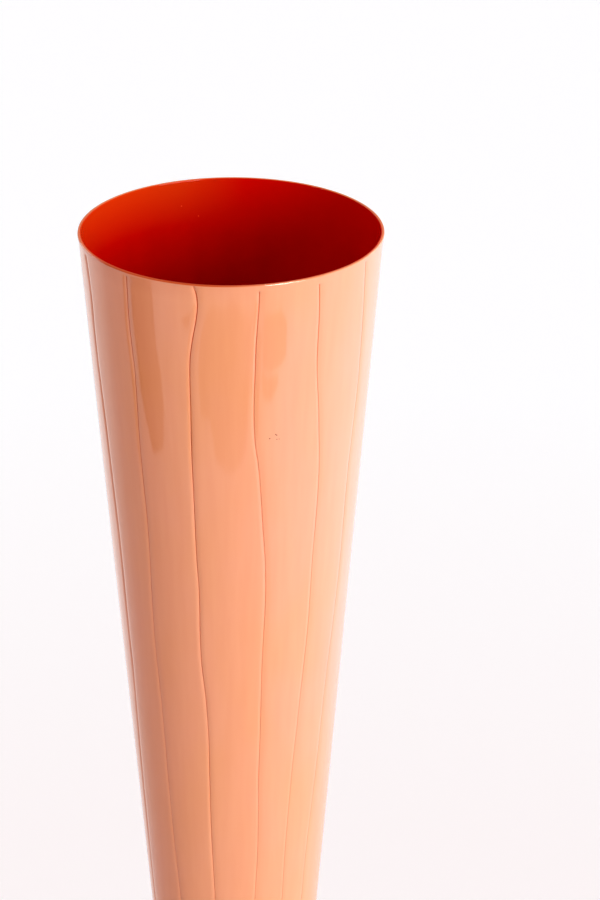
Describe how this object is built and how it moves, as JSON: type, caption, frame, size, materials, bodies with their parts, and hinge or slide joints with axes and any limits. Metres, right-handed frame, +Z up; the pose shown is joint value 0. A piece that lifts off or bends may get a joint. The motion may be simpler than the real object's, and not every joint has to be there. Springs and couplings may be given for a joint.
{
  "type": "trumpet vase",
  "caption": "Tall conical blown-glass vase on a disc foot: peach casing with wavy upright creases, white opal core and orange-red lining.",
  "frame": {"origin": "on the surface that the vase stands on, under its axis", "axes": "+Z up along the axis of the vase; -Y towards the viewer of the picture, +X to the viewer's right"},
  "size_m": [0.13, 0.1298, 0.54],
  "materials": {
    "orange_glass": "gloss",
    "opal_glass": "gloss",
    "peach_glass": "gloss",
    "clear_glass": "gloss"
  },
  "bodies": {
    "root": {"inner_lining": "orange_glass", "opal_core": "opal_glass", "outer_casing": "peach_glass", "merese": "clear_glass", "foot": "clear_glass"}
  },
  "joints": []
}
